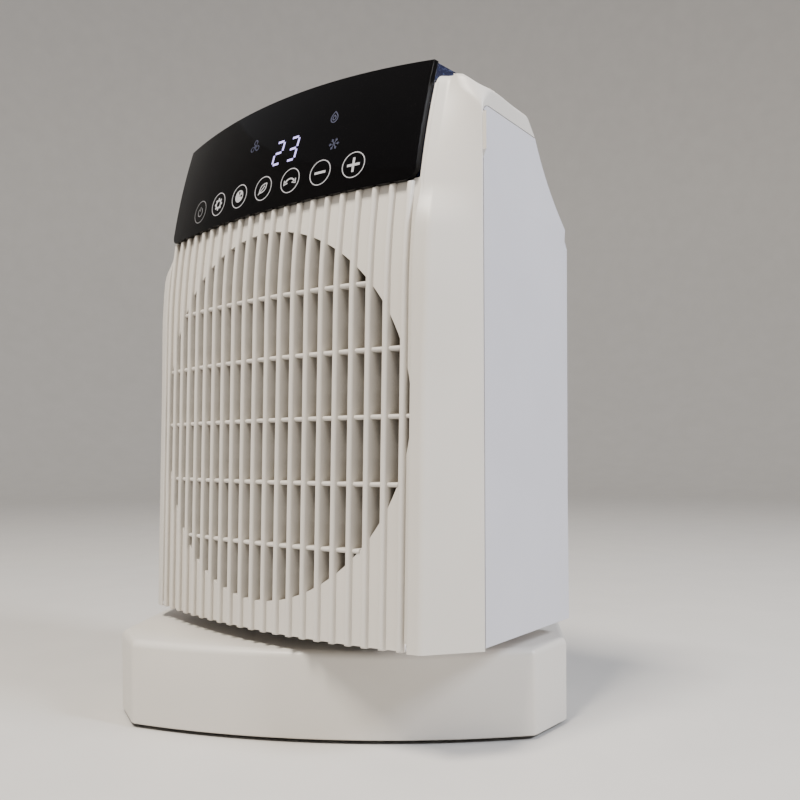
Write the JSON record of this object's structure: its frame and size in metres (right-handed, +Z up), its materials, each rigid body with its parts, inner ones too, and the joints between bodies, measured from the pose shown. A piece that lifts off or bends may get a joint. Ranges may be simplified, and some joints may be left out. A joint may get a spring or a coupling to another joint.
{
  "type": "fan convector heater",
  "caption": "Free-standing oscillating fan heater: ribbed outlet, glossy touch panel with display, and a rear intake grille, on a wide low base.",
  "frame": {"origin": "on the table under the middle of the whole object's bounding box, with the head turned as in the picture", "axes": "+Z up, -Y the front of the base, +X to the right of someone facing the base's front"},
  "size_m": [0.2442, 0.2121, 0.33],
  "materials": {
    "white_plastic": "satin moulded plastic, warm white",
    "shell_plastic": "satin moulded plastic, white",
    "panel_black": "high gloss black",
    "panel_side": "glossy dark blue-black",
    "dark_plastic": "fine satin texture",
    "heat_plastic": "heat-resistant, matt",
    "nylon": "natural nylon, satin",
    "rubber": "matt moulded rubber",
    "steel": "plated steel",
    "zinc": "bright zinc-plated steel",
    "aluminium": "folded fin stock, satin",
    "board": "green circuit board with solder mask",
    "relay_blue": "blue moulded relay case",
    "capacitor_sleeve": "shrink sleeve, dark blue",
    "filter_mesh": "open grey dust mesh in a moulded frame"
  },
  "bodies": {
    "base": {"base_cover": "white_plastic", "base_plate": "dark_plastic", "rubber_foot_1": "rubber", "rubber_foot_2": "rubber", "rubber_foot_3": "rubber", "rubber_foot_4": "rubber", "base_screw_1": "zinc", "base_screw_2": "zinc", "base_screw_3": "zinc", "base_screw_4": "zinc", "oscillation_motor": "steel", "oscillation_motor_screw_1": "zinc", "oscillation_motor_screw_2": "zinc", "swivel_bearing_ring": "nylon", "tip_over_switch": "dark_plastic", "cord_gland": "rubber", "power_switch_body": "dark_plastic"},
    "head": {"front_shell": "white_plastic", "rear_shell": "shell_plastic", "rear_grille": "shell_plastic", "dust_filter": "filter_mesh", "touch_panel": "panel_black", "panel_housing": "panel_side", "display_board": "board", "led_display": "dark_plastic", "heater_duct": "heat_plastic", "heater_frame": "heat_plastic", "ptc_heater": "aluminium", "thermal_cutout": "steel", "fan_motor": "steel", "motor_bracket": "heat_plastic", "power_board": "board", "relay_1": "relay_blue", "relay_2": "relay_blue", "supply_capacitor": "capacitor_sleeve", "room_sensor": "dark_plastic", "swivel_turntable": "nylon", "drive_gear": "nylon", "swivel_clip": "steel", "case_screw_1": "zinc", "case_screw_2": "zinc", "case_screw_3": "zinc", "case_screw_4": "zinc", "turntable_screw_1": "zinc", "turntable_screw_2": "zinc", "turntable_screw_3": "zinc"},
    "fan": {"fan_impeller": "dark_plastic", "fan_shaft": "steel", "fan_nut": "zinc"},
    "pinion": {"oscillation_pinion": "nylon"},
    "tip_over_plunger": {"tip_over_plunger": "nylon"},
    "power_rocker": {"power_rocker": "dark_plastic"}
  },
  "joints": [
    {"name": "head_swivel", "type": "hinge", "parent": "base", "child": "head", "pos_m": [-0.0015, -0.0045, 0.05], "axis": [0, 0, 1], "range_deg": [-0.4, 69.6]},
    {"name": "pinion_spin", "type": "hinge", "parent": "base", "child": "pinion", "pos_m": [-0.0375, -0.0045, 0.039], "axis": [0, 0, 1], "range_deg": [-140, 1]},
    {"name": "fan_spin", "type": "hinge", "parent": "head", "child": "fan", "pos_m": [0.00077, -0.00121, 0.1617], "axis": [0.5678, 0.8231, 0], "continuous": true},
    {"name": "plunger_slide", "type": "slide", "parent": "base", "child": "tip_over_plunger", "axis": [0, 0, 1], "range_m": [-0.004, 0], "stiffness_N_per_m": 10, "springref_m": -0.004},
    {"name": "power_rocker_tilt", "type": "hinge", "parent": "base", "child": "power_rocker", "pos_m": [-0.0535, 0.0535, 0.024], "axis": [1, 0, 0], "range_deg": [-14, 0]}
  ],
  "couplings": [
    {"joint": "pinion_spin", "follows": "head_swivel", "ratio": -2}
  ]
}
